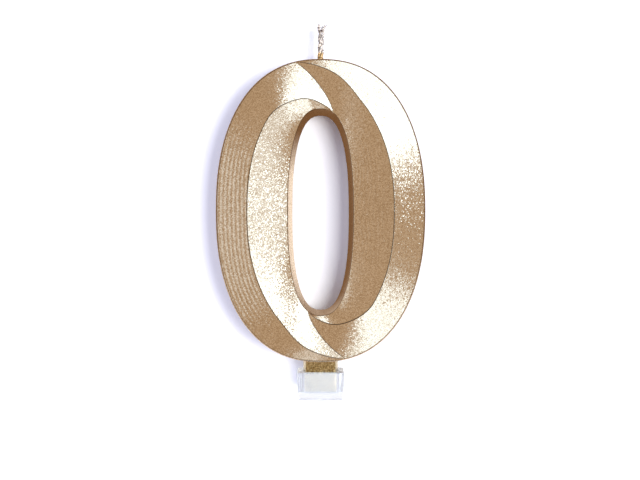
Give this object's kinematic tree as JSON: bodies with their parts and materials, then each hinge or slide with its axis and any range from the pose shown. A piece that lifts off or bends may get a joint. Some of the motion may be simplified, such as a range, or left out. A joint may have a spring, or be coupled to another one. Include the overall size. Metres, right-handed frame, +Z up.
{
  "type": "number birthday candle",
  "caption": "Numeral nought birthday candle: a faceted wax body with a satin metallic gold finish and a twisted wick, held in a clear plastic cup on a cake spike.",
  "frame": {"origin": "centre of the underside of the pick's cup, where the spike starts and the cake's icing touches", "axes": "+Z up along the tang to the wick, +X to the right seen from the front, and the front looks along -Y"},
  "size_m": [0.0484, 0.0148, 0.1229],
  "materials": {
    "lacquered_wax": "satin metallic champagne gold lacquer over paraffin wax",
    "wick_cotton": "twisted cotton dipped in wax, dusted with gold",
    "clear_polystyrene": "translucent moulded polystyrene, lightly frosted"
  },
  "bodies": {
    "pick": {"pick_holder": "clear_polystyrene"},
    "candle": {"wax_body": "lacquered_wax", "wick_strand_1": "wick_cotton", "wick_strand_2": "wick_cotton", "wick_strand_3": "wick_cotton"}
  },
  "joints": [
    {"name": "candle_pull_off", "type": "slide", "parent": "pick", "child": "candle", "axis": [0, 0, 1], "range_m": [0, 0.012]}
  ]
}
